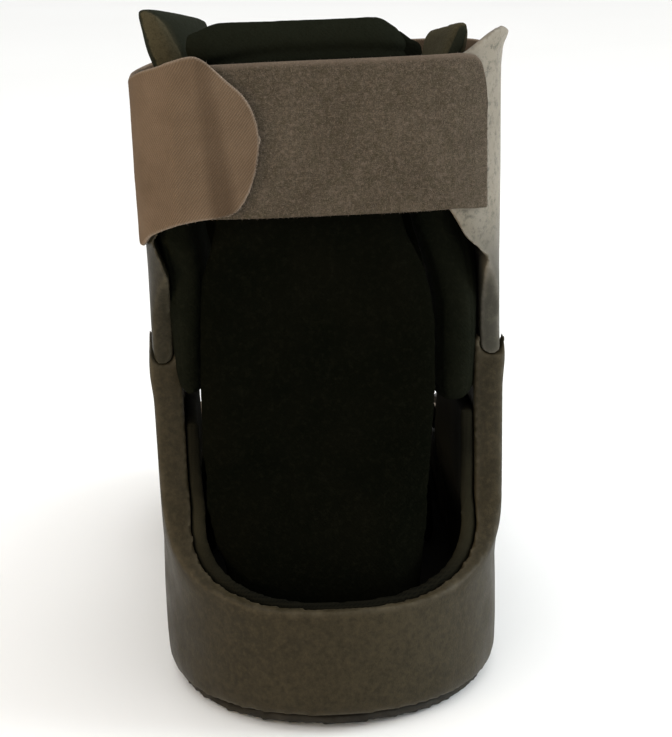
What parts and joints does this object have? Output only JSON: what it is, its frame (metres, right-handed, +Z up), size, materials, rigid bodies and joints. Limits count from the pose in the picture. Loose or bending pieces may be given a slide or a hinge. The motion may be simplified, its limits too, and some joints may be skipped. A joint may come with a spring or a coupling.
{
  "type": "short air walker boot",
  "caption": "Short orthopaedic walker boot: rigid heel shell on a rocker sole, struts with calf cuffs, padded liner and hook-and-loop straps.",
  "frame": {"origin": "centre of the bounding box's bottom, on the ground", "axes": "+Z up, +Y towards the toe, heel at -Y, +X to the right seen from behind"},
  "size_m": [0.131, 0.29, 0.248],
  "materials": {
    "sole_rubber": "matt, worn",
    "shell_plastic": "satin olive grey",
    "cuff_plastic": "satin warm grey",
    "bed_foam": "cloth-faced foam",
    "lining_foam": "cloth-faced foam",
    "pad_fabric": "brushed dark grey cloth over foam",
    "liner_fabric": "black brushed cloth over foam",
    "strap_loop": "fuzzy loop pile",
    "strap_hook": "fine woven twill",
    "ring_plastic": "smooth light grey"
  },
  "bodies": {
    "root": {"outsole": "sole_rubber", "lower_shell": "shell_plastic", "footbed": "bed_foam", "shell_lining": "lining_foam", "strut_cuff_left": "cuff_plastic", "strut_cuff_right": "cuff_plastic", "side_pad_left": "pad_fabric", "side_pad_right": "pad_fabric", "back_pad": "liner_fabric", "front_pad": "liner_fabric", "foot_wrap": "liner_fabric", "calf_band_loop": "strap_loop", "calf_strap_hook": "strap_hook", "instep_strap": "strap_hook", "forefoot_strap": "strap_hook", "instep_ring": "ring_plastic", "forefoot_ring": "ring_plastic"}
  },
  "joints": []
}
